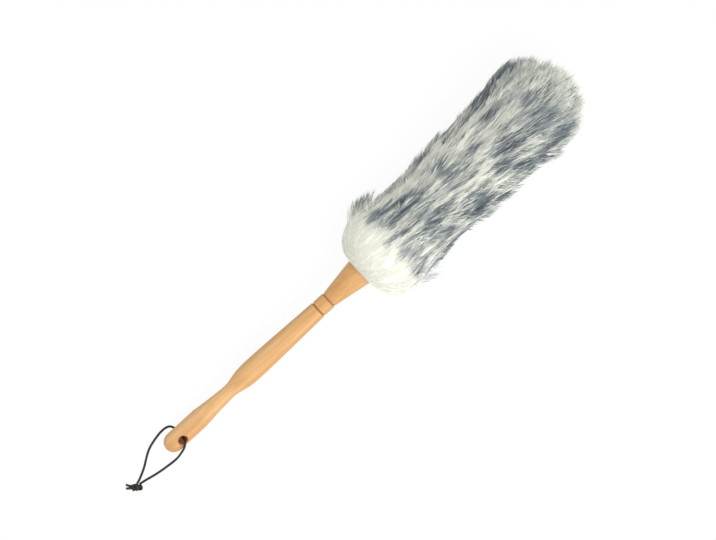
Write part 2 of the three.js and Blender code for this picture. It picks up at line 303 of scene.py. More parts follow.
def fleeceMaterial():  # the matted wool under the locks
    material, tree, shader = newMaterial("mattedFleece", 0.95)
    place = handleCoordinates(tree)
    tufts = noiseNode(tree, stretched(tree, place, 0.05, 0.3, 0.3), 1, 4, 0.65)
    colour = rampNode(tree, tufts, [(0.3, srgb(238, 238, 225)), (0.6, woolLook["hidden"])])
    tree.links.new(colour, shader.inputs["Base Color"])
    shader.inputs["Sheen Weight"].default_value = 0.2
    bumpNode(tree, shader, tufts, 0.6, 0.002)
    return material


def lambskinMaterial():
    material, tree, shader = newMaterial("tannedLambskin", 0.8)
    place = handleCoordinates(tree)
    pores = noiseNode(tree, place, 1.6, 4, 0.6)
    colour = rampNode(tree, pores, [(0.35, srgb(214, 196, 160)), (0.65, srgb(236, 224, 196))])
    tree.links.new(colour, shader.inputs["Base Color"])
    bumpNode(tree, shader, pores, 0.3, 0.0005)
    return material


def tackMaterial():
    material, tree, shader = newMaterial("brightTack", 0.32)
    place = handleCoordinates(tree)
    scratches = noiseNode(tree, place, 3, 3, 0.6)
    colour = rampNode(tree, scratches, [(0.3, srgb(176, 175, 172)), (0.7, srgb(206, 205, 202))])
    tree.links.new(colour, shader.inputs["Base Color"])
    shader.inputs["Metallic"].default_value = 1
    bumpNode(tree, shader, scratches, 0.1, 0.0003)
    return material


laceLook = {"dark": srgb(24, 20, 15), "middle": srgb(40, 35, 28), "worn": srgb(64, 58, 49)}


def laceMaterial():
    look = laceLook
    material, tree, shader = newMaterial("waxedLeather", 0.5)
    coordinates = addNode(tree, "ShaderNodeTexCoord")
    grain = noiseNode(tree, coordinates.outputs["Object"], 1500, 4, 0.65)
    wear = noiseNode(tree, coordinates.outputs["Object"], 220, 3, 0.6)
    colour = rampNode(tree, wear, [(0.3, look["dark"]), (0.55, look["middle"]), (0.75, look["worn"])])
    speck = rampNode(tree, grain, [(0.35, (0.7, 0.7, 0.7, 1)), (0.6, (1, 1, 1, 1))])
    tree.links.new(mixNode(tree, 0.8, colour, speck, "MULTIPLY"), shader.inputs["Base Color"])
    gloss = rampNode(tree, grain, [(0.3, (0.7, 0.7, 0.7, 1)), (0.7, (0.5, 0.5, 0.5, 1))])
    tree.links.new(gloss, shader.inputs["Roughness"])
    shader.inputs["Specular IOR Level"].default_value = 0.35
    bumpNode(tree, shader, grain, 0.35, 0.0004)
    return material


finishes = {
    "handleBeech": beechMaterial("oiledBeech", True),
    "coreBeech": beechMaterial("plainBeech", False),
    "wool": woolMaterial(),
    "fleece": fleeceMaterial(),
    "lambskin": lambskinMaterial(),
    "tack": tackMaterial(),
    "lace": laceMaterial(),
}
print("finishes mixed:", ", ".join(finishes))


def dress(piece, finish):
    piece.data.materials.clear()
    piece.data.materials.append(finishes[finish])


# Lace: the loop comes first, then its knot and cut ends
lace = {
    "radius": 0.0012,
    "points": 185,  # along the finished loop
    "endPoints": 16,
    "route": [  # from the knot over the butt, down through the hole, under the butt and back
        (-46.6, -11.8, 3.9), (-43.6, -12.9, 3.0), (-40.2, -14.4, 2.0), (-34.9, -16.4, 1.4),
        (-29.3, -18.1, 1.3), (-24.0, -19.4, 1.3), (-18.7, -20.5, 1.3), (-13.7, -21.2, 1.5),
        (-8.6, -21.2, 2.8), (-3.5, -19.9, 5.7), (0.9, -17.4, 9.6), (4.6, -14.0, 14.1),
        (7.9, -10.7, 18.5), (10.2, -8.2, 21.6), (12.1, -6.5, 23.2), (14.4, -4.8, 23.6),
        (16.5, -3.1, 22.5), (18.0, -2.0, 20.2), (18.5, -1.5, 17.3), (18.5, -1.0, 13.8),
        (18.5, -0.5, 10.6), (18.4, 0.0, 7.6), (18.4, 0.8, 4.6), (18.3, 2.8, 2.3),
        (18.1, 5.8, 1.3), (17.0, 9.0, 1.3), (14.8, 11.3, 1.3), (11.6, 12.5, 1.3),
        (6.0, 12.9, 1.3), (0.0, 12.2, 1.3), (-6.5, 10.8, 1.3), (-13.0, 8.8, 1.3),
        (-18.9, 5.8, 1.3), (-24.5, 2.0, 1.3), (-29.8, -1.8, 1.3), (-35.6, -5.2, 1.4),
        (-41.0, -7.5, 2.1), (-44.8, -8.6, 3.1), (-48.1, -9.2, 3.9),
    ],
    "ends": [
        [(-54.5, -6.2, 3.4), (-55.9, -4.0, 2.3), (-56.7, -2.2, 1.5)],
        [(-56.3, -8.4, 3.1), (-58.2, -6.7, 2.1), (-59.6, -5.5, 1.5)],
    ],
    "bendsFrom": (4, 0, 2),  # on the real lace, the part up to here stays with the handle
    "bendsTo": (-40, -9, 2),  # and the part from here swings with the loop
}
knot = {  # millimetres; along runs from the loop to the cut ends, then beside and up
    "middle": (-51.6, -10.9, 4.5),
    "turn": math.radians(-40.5),
    "eye": [(-5.2, 1.0, 0.7), (-5.9, -0.9, 1.1), (-5.1, -2.7, 0.7), (-3.2, -3.0, -0.9)],
    "wraps": [  # along from and to, radius at both, angle at which the first begins, turns, slant
        (-2.6, 4.2, 3.0, 2.2, -1.2, 1.8, 0.9),
        (-1.0, 5.4, 2.7, 1.9, 1.2, 1.6, -1.0),
    ],
    "points": 110,  # along each strand
    "core": [(-4.6, 1.7), (-2, 2.2), (2, 2.1), (5, 1.6), (8, 1.1)],  # along, radius
    "coreHeight": -0.2,
    "corePoints": 14,
}


def laceTube(name, points, radius, sides=4):
    curve = bpy.data.curves.new(name, "CURVE")
    curve.dimensions = "3D"
    curve.bevel_depth = radius
    curve.bevel_resolution = sides
    curve.use_fill_caps = True
    spline = curve.splines.new("POLY")
    spline.points.add(len(points) - 1)
    for point, place in zip(spline.points, points):
        point.co = (*place, 1)
    piece = bpy.data.objects.new(name, curve)
    bpy.context.collection.objects.link(piece)
    selectOnly(piece)
    bpy.ops.object.convert(target="MESH")
    piece = bpy.context.object
    bpy.ops.object.mode_set(mode="EDIT")
    bpy.ops.mesh.select_all(action="SELECT")
    bpy.ops.mesh.remove_doubles(threshold=1e-7)
    bpy.ops.mesh.normals_make_consistent(inside=False)
    bpy.ops.object.mode_set(mode="OBJECT")
    bpy.ops.object.shade_smooth_by_angle(angle=math.radians(50))
    dress(piece, "lace")
    return piece


def tableLine(route, count):
    places = [onTable(*p) for p in route]
    return evenLine(smoothLine(places, 24), count)


lacePath = tableLine(lace["route"], lace["points"])
hangLace = laceTube("hangLace", lacePath, lace["radius"])
laceEnds = [
    laceTube(f"laceEnd{i + 1}", tableLine(route, lace["endPoints"]), lace["radius"])
    for i, route in enumerate(lace["ends"])
]


def knotPlace(alongKnot, beside, height):  # the knot's own axis runs from the loop to the cut ends
    c, s = math.cos(knot["turn"]), math.sin(knot["turn"])
    x, y, z = knot["middle"]
    return onTable(x - c * alongKnot - s * beside, y - s * alongKnot + c * beside, z + height)


def knotStrand(i):  # in from the loop, round the knot, then through it and out to the cut end
    begin, end, wide, narrow, first, turns, slant = knot["wraps"][i]
    share = np.linspace(0, 1, 26)
    angle = first + 2 * math.pi * turns * share
    radius = wide + (narrow - wide) * share
    reach = begin + (end - begin) * share + slant * np.sin(angle + 0.9)
    wraps = zip(reach, -radius * np.cos(angle), radius * np.sin(angle))
    places = [onTable(*lace["route"][0 if i == 0 else -1])]
    places += [knotPlace(*p) for p in (knot["eye"] if i == 0 else [])]
    places += [knotPlace(*p) for p in wraps]
    places.append(onTable(*lace["ends"][i][0]))
    return evenLine(smoothLine(places, 12), knot["points"])


def knotCore():  # what the wraps close in on
    reach, radius = np.array(knot["core"]).T
    height = knot["coreHeight"]
    coreLine = [knotPlace(p, 0, height) for p in np.linspace(reach[0], reach[-1], knot["corePoints"])]
    piece = laceTube("knotCore", coreLine, 0.001)  # one millimetre, so that the radius scales it
    middle = np.array(knotPlace(0, 0, height))
    way = np.array(knotPlace(-1, 0, height)) - middle
    for corner in piece.data.vertices:
        at = -np.dot(np.array(corner.co) - middle, way) / np.dot(way, way)
        centre = np.array(knotPlace(at, 0, height))
        corner.co = centre + (np.array(corner.co) - centre) * np.interp(at, reach, radius)
    return piece


strands = [laceTube(f"knotStrand{i + 1}", knotStrand(i), lace["radius"]) for i in range(2)]
strands.append(knotCore())
selectNone()
for strand in strands:
    strand.select_set(True)
bpy.context.view_layer.objects.active = strands[0]
bpy.ops.object.join()
laceKnot = bpy.context.object
laceKnot.name = "laceKnot"

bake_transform(hangLace)
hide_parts("hang_lace")
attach(laceKnot, "hang_loop")
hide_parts("lace_knot")
for i, end in enumerate(laceEnds):
    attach(end, "hang_loop")
    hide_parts(f"lace_end_{i + 1}")
print("lace laid, knot tied")


# Handle: a turned outline, then the hanging hole
turning = {  # millimetres, along the handle from just inside the butt
    "butt": (-2, 11, 10.4),  # its end, the length of its rounding, its radius
    "buttLength": 44,
    "neck": (84, 7.1),  # where, and its radius
    "neckCurve": (0.12, 0.94, 0.4, 1.08),  # shares of the taper and of the radius, at either end
    "swell": (116, 11.3),
    "swellCurve": (0.28, 0.58),
    "shank": 9.2,
    "shankCurve": (0.24, 0.62, 0.8),  # shares of its run, then how much thicker it is there
    "bead": (*beechLook["grooves"], 9),  # its two grooves, and its radius between them
    "groove": (2.2, 1.1, 0.2),  # width, depth, and half the width of its floor
    "rim": (261, 15, 3),  # where, its radius and its rounding
    "socket": (219, 6.3),  # its bottom and its radius
    "spinSteps": 112,
    "hole": 4.8,
    "holeMouth": (2.6, 3.4, 2.4),  # where its easing begins below the surface, its depth, its width
    "holeSteps": 72,
}


def bezier(points, count):
    t = np.linspace(0, 1, count)[1:, None]
    p = np.array(points, float)
    return (1 - t) ** 3 * p[0] + 3 * (1 - t) ** 2 * t * p[1] + 3 * (1 - t) * t**2 * p[2] + t**3 * p[3]


def handleOutline():
    cut = turning
    end, length, radius = cut["butt"]
    line = [(end + length * (1 - math.cos(a)), radius * math.sin(a)) for a in np.linspace(0, math.pi / 2, 14)]
    line += [(x, radius) for x in np.linspace(end + length, cut["buttLength"], 30)[1:]]
    start, (neckAt, neck) = cut["buttLength"], cut["neck"]
    taper = neckAt - start
    early, thinned, late, thicker = cut["neckCurve"]
    line += list(bezier([(start, radius), (start + taper * early, radius * thinned),
                         (neckAt - taper * late, neck * thicker), (neckAt, neck)], 18))
    swellAt, swell = cut["swell"]
    reach = swellAt - neckAt
    early, late = cut["swellCurve"]
    line += list(bezier([(neckAt, neck), (neckAt + reach * early, neck),
                         (swellAt - reach * late, swell), (swellAt, swell)], 18))
    first, second, bead = cut["bead"]
    width, depth, floor = cut["groove"]
    half = width / 2
    run = first - half - swellAt
    early, late, thicker = cut["shankCurve"]
    line += list(bezier([(swellAt, swell), (swellAt + run * early, swell),
                         (swellAt + run * late, cut["shank"] + thicker), (first - half, cut["shank"])], 24))
    line += [(first - floor, bead - depth), (first + floor, bead - depth), (first + half, bead)]
    line += [(second - half, bead), (second - floor, bead - depth), (second + floor, bead - depth)]
    line += [(second + half, bead - depth / 3)]
    rimAt, rim, rounding = cut["rim"]
    flareFrom = np.array(line[-1])
    line += [tuple(flareFrom + (np.array([rimAt, rim]) - flareFrom) * t) for t in np.linspace(0, 1, 10)[1:]]
    bottom, bore = cut["socket"]
    for a in np.linspace(0, math.pi / 2, 10)[1:]:
        line.append((rimAt + rounding * math.sin(a), bore + (rim - bore) * math.cos(a)))
    return line + [(bottom, bore), (bottom, 0)]


def spinOutline(name, outline, steps):  # drawn point by point, then spun about the X axis
    selectNone()
    bpy.ops.mesh.primitive_plane_add(size=0.002)
    piece = bpy.context.object
    piece.name = name
    bpy.ops.object.mode_set(mode="EDIT")
    bpy.ops.mesh.select_all(action="SELECT")
    bpy.ops.mesh.merge(type="CENTER")
    last = (0.0, 0.0)
    for place in outline:
        step = ((place[0] - last[0]) / 1000, 0, (place[1] - last[1]) / 1000)
        if max(map(abs, step)) > 1e-9:
            bpy.ops.mesh.extrude_region_move(TRANSFORM_OT_translate={"value": step})
        last = place
    bpy.ops.mesh.select_all(action="SELECT")
    bpy.ops.mesh.spin(steps=steps, angle=2 * math.pi, center=(0, 0, 0), axis=(1, 0, 0))
    bpy.ops.mesh.select_all(action="SELECT")
    bpy.ops.mesh.remove_doubles(threshold=2e-6)
    bpy.ops.mesh.normals_make_consistent(inside=False)
    bpy.ops.object.mode_set(mode="OBJECT")
    return piece


def layDown(piece):  # from along X to the lie on the table
    selectOnly(piece)
    piece.rotation_euler = (0, -lie["tilt"], 0)
    piece.location = butt
    bpy.ops.object.transform_apply(location=True, rotation=True, scale=True)


def holeCutter():
    reach, wide = turning["butt"][2], turning["hole"]
    below, deep, eased = turning["holeMouth"]
    half = [(0, wide), (reach - below, wide)]
    half += [(reach - below + deep * math.sin(a), wide + eased * (1 - math.cos(a)))
             for a in np.linspace(0, math.pi / 2, 8)[1:]]
    half += [(reach + 3, half[-1][1] + 1.2)]  # on past the wood
    whole = [(-x, r) for x, r in reversed(half[1:])] + half
    outline = [(whole[0][0], 0), *whole, (whole[-1][0], 0)]
    cutter = spinOutline("holeCutter", outline, turning["holeSteps"])
    cutter.rotation_euler = (0, -math.pi / 2, 0)
    cutter.location = (lie["holeAt"], 0, 0)
    return cutter


def turnHandle():
    piece = spinOutline("turnedHandle", handleOutline(), turning["spinSteps"])
    cutter = holeCutter()
    selectOnly(piece)
    drill = piece.modifiers.new("hangingHole", "BOOLEAN")
    drill.object = cutter
    drill.operation = "DIFFERENCE"
    drill.solver = "EXACT"
    bpy.ops.object.modifier_apply(modifier=drill.name)
    selectOnly(cutter)
    bpy.ops.object.delete()
    layDown(piece)
    bpy.ops.object.shade_smooth_by_angle(angle=math.radians(38))
    dress(piece, "handleBeech")
    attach(piece, "duster")
    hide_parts("handle")


turnHandle()
print("handle turned and drilled")


# Wool: an outline that the locks follow, the matted fleece under it, then the locks themselves
fleece = {
    "outline": [  # millimetres: along the handle from the butt, and out from its axis
        (261.5, 15.0), (263, 26), (270.6, 38), (282.7, 45.4), (298, 48), (319, 44),
        (340, 40.4), (414, 42.6), (455, 43), (496, 48.4), (516, 44), (537, 25), (545, 10), (546, 0),
    ],
    "endsForward": 488,  # from here the wool runs straight on, past the outline's turn
    "forward": (75, 7),  # by this much, along the handle and out from it
    "lean": math.tan(math.radians(2)),  # the head leans sideways a little
    "leanFrom": 359,  # about this place along the handle
    "leanRadius": (10, 39),  # its middle stays straight: where the lean begins, and over what depth
    "offTable": 2.4,  # how far the matted wool stays off the table
    "under": [(261.8, 14.2), (263.4, 25.6), (270.9, 37.5), (282.9, 44.9), (298, 47.4), (322, 41), (345, 36.4),
              (414, 38.4), (455, 38.8), (480, 38.5), (500, 34), (513, 23), (519, 12), (521, 0)],
}
outlineLine = evenLine(smoothLine(fleece["outline"], 24), 1200)
turnAt = int(np.argmax(outlineLine[:, 0] > fleece["endsForward"]))
onward = outlineLine[turnAt] + np.linspace(0, 1, 60)[:, None] * fleece["forward"]
flowLine = np.vstack([outlineLine[:turnAt], onward])
flowWay = np.concatenate([[0], np.cumsum(np.linalg.norm(np.diff(flowLine, axis=0), axis=1))])
flowEnd = flowWay[turnAt]


def onFlow(way):  # place on the flow line: along the handle and out from it
    return np.stack([np.interp(way, flowWay, flowLine[:, k]) for k in range(2)], axis=-1)


def flowAt(way):  # the place, and the way out from the line there
    run = onFlow(way + 0.6) - onFlow(way - 0.6)
    run /= np.linalg.norm(run, axis=-1, keepdims=True)
    return onFlow(way), np.stack([-run[..., 1], run[..., 0]], axis=-1)


def toTable(at, radius, angle, floor):  # handle coordinates in millimetres to metres on the table
    side = (at - fleece["leanFrom"]) * fleece["lean"] * easeIn(radius, *fleece["leanRadius"])
    y = side + radius * np.cos(angle)
    z = radius * np.sin(angle)
    b = np.array(butt) * 1000
    world = np.stack([b[0] + at * along.x + z * rise.x, b[1] + y, b[2] + at * along.z + z * rise.z], axis=-1)
    world[..., 2] = np.maximum(world[..., 2], floor)
    return world / 1000


def fleeceBody():
    line = evenLine(smoothLine(fleece["under"], 12), 70)
    back = fleece["under"][0][0]
    line = [(back, 9.5), *map(tuple, line[:-1]), fleece["under"][-1]]
    piece = spinOutline("fleeceBody", [(back, 0), *line], 72)
    count = len(piece.data.vertices)
    spots = np.zeros(count * 3)
    piece.data.vertices.foreach_get("co", spots)
    spots = spots.reshape(-1, 3) * 1000
    radius = np.hypot(spots[:, 1], spots[:, 2])
    angle = np.arctan2(spots[:, 2], spots[:, 1])
    laid = toTable(spots[:, 0], radius, angle, fleece["offTable"])
    piece.data.vertices.foreach_set("co", laid.ravel())
    piece.data.update()
    selectOnly(piece)
    bpy.ops.object.shade_smooth()
    dress(piece, "fleece")
    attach(piece, "duster")
    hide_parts("strip_pile")


fleeceBody()
print("fleece wound on")

locks = {  # millimetres; a range along the head is where it begins and how long it is
    "seed": 11,
    "pieces": 10,
    "rowStep": 6.2,
    "besideStep": 6.4,
    "strands": 34,  # in each lock
    "cuts": (0.3, 0.58, 0.82),  # where a strand bends, as shares of its length
    "length": (34, 50),
    "uneven": (0.82, 1.08),  # shares of its lock's length that a strand can have
    "cuffLength": 0.42,  # share of the length that the locks at the handle have
    "cuffGrows": (8, 60),
    "calm": (0, 110),  # the cuff lies smooth, the wool beyond it less so
    "width": 4.6,  # half the width of a lock at its root
    "rootSpread": 6,  # how far its roots are spread along the head, either way
    "combed": (0.21, math.radians(10)),  # how far the locks lean round the head, and where they part
    "unruly": 0.12,  # how much that lean varies
    "cuffLean": 0.25,  # share of it in the cuff
    "gather": (0.1, 0.62),  # how far its strands close up at the tip, in the cuff and beyond
    "lift": (0.4, 1.1),  # how far the tips stand off the head, and how much that varies
    "raised": (0.05, 1, 4),  # share of the locks that stand off by more, and by how much
    "rootDepth": 11,
    "thick": 0.46,  # radius of a strand where it is thickest
    "taper": (0.8, 1, 0.9, 0.6, 0),  # shares of it from root to tip
    "flat": (0.25, 0.6),  # strands lie flat: height to width, in the cuff and beyond
    "ruffled": (12, 60),
    "smooth": 0.75,  # how much of a strand's shading follows the whole head
    "glowing": 1.1,  # light that soaks through the wool, as a lean of its shading to the sky
}
fringe = {  # the brushed end
    "locks": 560,
    "radius": 48,
    "starts": (30, 50),  # how far behind the outline its locks begin
    "splay": 9,  # how far it opens out
    "gather": 0.92,
    "rootDepth": 0.4,  # share of the depth that other locks have
    "scatter": 3,  # how far the strands in its middle leave their lock
    "spare": (2.2, 2.6, 5),  # how far wool reaches past the outline, how much that varies, the most
    "ragged": 1.7,  # how many times as much it varies here
    "faces": (0.7, 50),  # how far its shading turns to the front, and over what length
}
loose = {  # strays that stand off behind the cuff, and wisps that break the outline all over
    "strays": 60,
    "clump": (math.radians(-31), 0.1, 50, 4),  # two in five: the angle and the way, and how much each varies
    "strayWay": (45, 90),
    "strayLift": (1, 5),
    "behind": (62, 8),  # strays with their roots before this place stand off by so much more
    "thinned": 5,  # a stray keeps one strand in so many
    "wisps": 190,
    "wispLift": (2, 7.5),
    "length": 0.6,  # shares of what other locks have
    "uneven": 0.4,
    "width": 0.45,
    "gather": 0.9,
}
shading = {  # 0 is cream and 1 the darkest grey; ranges as above, along the head or along a strand
    "pale": 0.04,  # the wool between the dark tufts
    "uneven": 0.05,
    "cuffEnds": (283, 24),  # up to here it has no grey
    "tuftsBegin": (290, 14),
    "greyBand": 0.05,  # how much greyer it is just in front of the cuff
    "bandBegins": (292, 20),
    "bandEnds": (345, 40),
    "greyTip": 0.24,  # and at the brushed end
    "tipBegins": (460, 55),
    "fringeMiddlePaintedLight": 0.6,  # how much of the tufts is taken out in the middle of the brushed end: painted light, paler where its front lies in shade
    "rootsEnd": (0.02, 0.24),  # roots are pale inside a tuft too
    "tipsBegin": (0.35, 0.5),
    "strayTip": 0.75,
    "wispTip": (0, 0.7),
    "rimTip": (0, 0.6),
    "through": 0.1,  # share of the strands in a dark tuft that stay paler
    "throughShade": (0.15, 0.7),
    "speckle": 0.06,  # how much strands differ
    "hairs": 0.26,  # share of the locks with a stroke that is dark for most of its length
    "hairsFrom": 55,
    "hairShade": (0.8, 1),
    "hairBegins": (0.1, 0.25),
}

# Shade of the wool: dark tufts, listed one by one on the front and laid by chance on the other sides
tufts = {
    "laid": [  # along the handle, degrees round it (0 at +Y, 90 on top), length, width, strength
        (334, 27, 42, 16, 0.95), (310, 10, 16, 12, 0.7), (322, 40, 16, 8, 0.5), (350, 60, 16, 10, 0.35),
        (347, 76, 16, 10, 0.5), (346, 90, 16, 10, 0.5), (354, 108, 20, 13, 0.85), (318, 94, 16, 10, 0.7),
        (308, 113, 14, 10, 0.8), (310, 80, 14, 10, 0.5), (397, 110, 26, 17, 0.95), (401, 90, 15, 11, 0.8),
        (391, 28, 18, 8, 0.75), (399, 45, 22, 10, 1.0), (393, 66, 12, 14, 0.4), (439, 90, 20, 12, 0.9),
        (450, 66, 22, 14, 0.8), (456, 111, 22, 15, 0.95), (464, 25, 20, 11, 0.85), (488, -6, 60, 14, 0.95),
        (503, 48, 18, 9, 0.9), (476, 90, 26, 10, 0.25), (502, 90, 20, 10, 0.45), (480, 108, 16, 10, 0.5),
        (502, 112, 26, 14, 0.9), (500, 78, 30, 6, 0.8), (455, 76, 16, 8, 0.55), (476, 76, 30, 8, 0.22),
        (507, 75, 30, 8, 0.25), (464, 112, 24, 14, 0.7), (502, 9, 34, 10, 0.35), (300, 98, 10, 12, 0.3),
        (427, 41, 20, 7, 0.85), (463, 73, 18, 8, 0.85), (357, 70, 18, 7, 0.5), (377, 86, 16, 6, 0.4),
        (508, 113, 22, 14, 0.7), (388, 114, 20, 14, 0.8), (526, 112, 30, 16, 0.8), (526, -12, 30, 16, 0.8),
    ],
    "seed": 23,
    "more": 46,  # on the sides that the laid ones leave pale
    "moreRanges": [(305, 520), (128, 342), (14, 34), (8, 15), (0.5, 0.95)],  # in the laid ones' order
    "streaks": 760,  # thin ones all round, most of them close to a tuft
    "streakRanges": [(308, 548), (0, 360), (14, 38), (1.2, 3.2), (0.2, 0.75)],
    "halo": 0.12,  # strength of the shade round a tuft
    "comesUp": (-1.2, 0.9),  # where a tuft begins and how soon it is dark, in shares of its length
    "tips": (0.75, 0.35),
    "rows": np.arange(250, 566, 0.5),
    "columns": np.arange(576) * math.pi / 288,
    "girth": 46,  # radius at which widths are meant
}


def combed(angle):
    lean, parting = locks["combed"]
    return lean * np.sin(angle - parting)


def layTufts():  # soft behind, where the wool comes up pale, and abrupt in front, at the tips
    rng = np.random.default_rng(tufts["seed"])
    big = list(tufts["laid"])
    for _ in range(tufts["more"]):
        big.append([rng.uniform(*span) for span in tufts["moreRanges"]])
    stamps = []
    for at, turn, length, width, strength in big:
        for side in (-0.4, 0, 0.4):  # three locks side by side
            shift = math.degrees(side * width / tufts["girth"])
            stamps.append((at + rng.normal(0, 0.2) * length, turn + shift, length * rng.uniform(0.75, 1.2),
                           0.5 * width, strength, combed(math.radians(turn)) + rng.normal(0, 0.12)))
    for at, turn, length, width, strength in big:
        stamps.append((at + 3, turn, 1.6 * length, 1.7 * width + 9, tufts["halo"] * strength,
                       combed(math.radians(turn))))
    for i in range(tufts["streaks"]):
        at, turn = [rng.uniform(*span) for span in tufts["streakRanges"][:2]]
        if i % 3:
            tuft = big[rng.integers(len(big))]
            at = tuft[0] + rng.normal(0, 0.6) * tuft[2]
            turn = tuft[1] + math.degrees(rng.normal(0, 9) / tufts["girth"])
        size = [rng.uniform(*span) for span in tufts["streakRanges"][2:]]
        stamps.append((at, turn, *size, combed(math.radians(turn)) + rng.normal(0, 0.14)))
    clear = np.ones((len(tufts["rows"]), len(tufts["columns"])))
    for at, turn, length, width, strength, tilt in stamps:
        near = np.abs(tufts["rows"] - at) < 0.9 * length
        ahead = tufts["rows"][near] - at
        aside = (tufts["columns"] - math.radians(turn) + np.pi) % (2 * np.pi) - np.pi
        aside = aside[None, :] * tufts["girth"] - tilt * ahead[:, None]
        share = ahead / (0.6 * length)
        dark = easeIn(share, *tufts["comesUp"]) * (1 - easeIn(share, *tufts["tips"]))
        clear[near] *= 1 - strength * dark[:, None] * np.exp(-1.5 * (aside / (0.5 * width)) ** 2)
    return 1 - clear


tuftField = layTufts()


def tuftShade(at, angle):  # 0 on pale wool, up to 1 inside a dark tuft
    first, second = tufts["rows"][:2]
    row = np.clip(((at - first) / (second - first)).astype(int), 0, len(tufts["rows"]) - 1)
    column = (np.floor(angle / (2 * np.pi) * len(tufts["columns"])).astype(int)) % len(tufts["columns"])
    return tuftField[row, column]


def strandShape():  # one strand, modelled once: three sides, drawn out to a point
    selectNone()
    bpy.ops.mesh.primitive_cone_add(vertices=3, radius1=1, radius2=0, depth=1, location=(0, 0, 0.5))
    strand = bpy.context.object
    bpy.ops.object.transform_apply(location=True, rotation=True, scale=True)
    bpy.ops.object.mode_set(mode="EDIT")
    for height in locks["cuts"]:
        bpy.ops.mesh.select_all(action="SELECT")
        bpy.ops.mesh.bisect(plane_co=(0, 0, height), plane_no=(0, 0, 1))
    bpy.ops.mesh.select_all(action="SELECT")
    bpy.ops.mesh.normals_make_consistent(inside=False)
    bpy.ops.object.mode_set(mode="OBJECT")
    spots = np.array([v.co for v in strand.data.vertices])
    faces = [list(p.vertices) for p in strand.data.polygons]
    bpy.ops.object.delete()
    return spots, faces


def streakNoise(rng, way, angle):  # soft streaks along the head, closed round the handle
    waves = 40
    total = np.zeros(way.shape)
    for _ in range(waves):
        turns = rng.integers(-24, 25)
        pitch = rng.uniform(-1, 1) / 45
        total += np.sin(2 * np.pi * way * pitch + turns * angle + rng.uniform(0, 6.28))
    return total / waves**0.5


def plantLocks(rng):
    ways, angles = [], []
    for row in np.arange(0.5, flowEnd - 6, locks["rowStep"]):
        radius = onFlow(row)[1]
        count = max(12, int(2 * np.pi * radius / locks["besideStep"]))
        ways.append(row + rng.uniform(-0.5, 0.5, count) * locks["rowStep"])
        places = np.arange(count) + rng.uniform(-0.45, 0.45, count)
        angles.append((places + rng.uniform()) * 2 * np.pi / count)
    way, angle = np.maximum(np.concatenate(ways), 0.2), np.concatenate(angles)
    return way, angle, np.ones(len(way))


def plantFringe(rng):  # the brushed end: locks that stand forward out of the last turns
    count = fringe["locks"]
    share = np.sqrt(rng.uniform(0.002, 0.94, count))
    end = np.interp(-fringe["radius"] * share, -outlineLine[turnAt:, 1], outlineLine[turnAt:, 0])
    way = flowEnd + end - fleece["endsForward"] - rng.uniform(*fringe["starts"], count)
    return way, rng.uniform(0, 2 * np.pi, count), share


def plantStrays(rng):
    count = loose["strays"]
    angle, turned, way, shifted = loose["clump"]
    behind = np.arange(count) % 5 < 2
    angle = np.where(behind, rng.normal(angle, turned, count), rng.uniform(0, 2 * np.pi, count))
    way = np.where(behind, rng.normal(way, shifted, count), rng.uniform(*loose["strayWay"], count))
    return way, angle, np.ones(count)


def plantWisps(rng):
    count = loose["wisps"]
    return rng.uniform(70, flowEnd - 8, count), rng.uniform(0, 2 * np.pi, count), np.ones(count)


def planLocks(rng):  # where the locks grow, and what all strands of a lock share
    planted = [plantLocks(rng), plantFringe(rng), plantStrays(rng), plantWisps(rng)]
    kind = np.repeat(["lock", "fringe", "stray", "wisp"], [len(group[0]) for group in planted])
    stray, wisp = kind == "stray", kind == "wisp"
    free = stray | wisp
    way, angle, share = [np.concatenate(group) for group in zip(*planted)]
    count = len(way)
    calm = easeIn(way, *locks["calm"])
    length = rng.uniform(*locks["length"], count) * np.where(free, loose["length"], 1)
    grown = locks["cuffLength"] + (1 - locks["cuffLength"]) * easeIn(way, *locks["cuffGrows"])
    yaw = rng.normal(0, locks["unruly"], count) + combed(angle)
    yaw = yaw * (locks["cuffLean"] + (1 - locks["cuffLean"]) * calm) * share**2
    lift = rng.normal(*locks["lift"], count)
    often, least, most = locks["raised"]
    raised = rng.uniform(0, 1, count) < often
    lift = (lift + np.where(raised, rng.uniform(least, most, count), 0)) * calm
    nearCuff, further = loose["behind"]
    strayLift = rng.uniform(*loose["strayLift"], count) + further * (way < nearCuff)
    lift = np.select([stray, wisp], [strayLift, rng.uniform(*loose["wispLift"], count)], lift)
    haired = (rng.uniform(0, 1, count) < shading["hairs"]) & (way > shading["hairsFrom"])
    pale = shading["pale"] + shading["uneven"] * streakNoise(rng, way, angle)
    return {
        "way": way,
        "angle": angle,
        "share": share,
        "calm": calm,
        "length": length * np.where(free, 1, grown),
        "width": locks["width"] * np.where(free, loose["width"], 1),
        "yaw": yaw,
        "lift": lift + haired,  # a dark stroke lies a millimetre higher
        "haired": haired,
        "pale": pale + rng.normal(0, shading["uneven"], count),
        "fringe": kind == "fringe",
        "stray": stray,
        "wisp": wisp,
        "free": free,
    }


def perStrand(values):  # what a lock has, once for each of its strands
    return np.repeat(values, locks["strands"])[:, None]


def outlineReach(at):
    return np.interp(at, outlineLine[:, 0], outlineLine[:, 1], right=-5.0)


def resample(values, u, wanted):
    step = u[1] - u[0]
    low = np.clip((wanted / step).astype(int), 0, len(u) - 2)
    share = wanted / step - low
    rows = np.arange(len(values))[:, None]
    return values[rows, low] * (1 - share) + values[rows, low + 1] * share


strandLevels = np.array([0, *locks["cuts"], 1])


